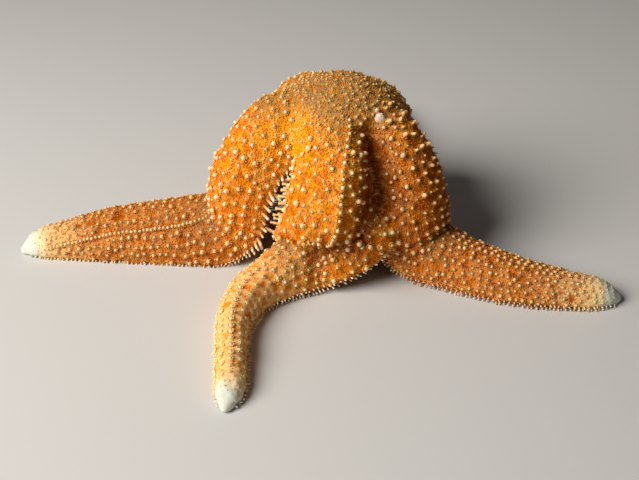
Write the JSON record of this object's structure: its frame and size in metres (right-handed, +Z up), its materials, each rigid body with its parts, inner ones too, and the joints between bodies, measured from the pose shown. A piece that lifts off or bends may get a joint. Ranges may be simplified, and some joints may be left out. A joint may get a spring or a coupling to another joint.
{
  "type": "common starfish",
  "caption": "Life-size common starfish humped high over its bent arms, their outer lengths lying on the floor, with spiny orange skin.",
  "frame": {"origin": "middle of the footprint, on the floor", "axes": "+Z up, -Y towards the front arm, +X towards the right arm, +Y towards the two back arms"},
  "size_m": [0.1672, 0.1611, 0.0495],
  "materials": {
    "skin": "satin",
    "spines": "satin",
    "feet": "satin",
    "mouth": "satin",
    "madreporite": "matte"
  },
  "bodies": {
    "root": {"disc": "skin", "mouth": "mouth", "madreporite": "madreporite", "arm_left_shoulder": "skin", "arm_left_knee": "skin", "arm_left_length": "skin", "arm_left_tip": "skin", "arm_front_shoulder": "skin", "arm_front_knee": "skin", "arm_front_length": "skin", "arm_front_tip": "skin", "arm_right_shoulder": "skin", "arm_right_knee": "skin", "arm_right_length": "skin", "arm_right_tip": "skin", "arm_back_right_shoulder": "skin", "arm_back_right_knee": "skin", "arm_back_right_length": "skin", "arm_back_right_tip": "skin", "arm_back_left_shoulder": "skin", "arm_back_left_knee": "skin", "arm_back_left_length": "skin", "arm_back_left_tip": "skin"}
  },
  "joints": []
}
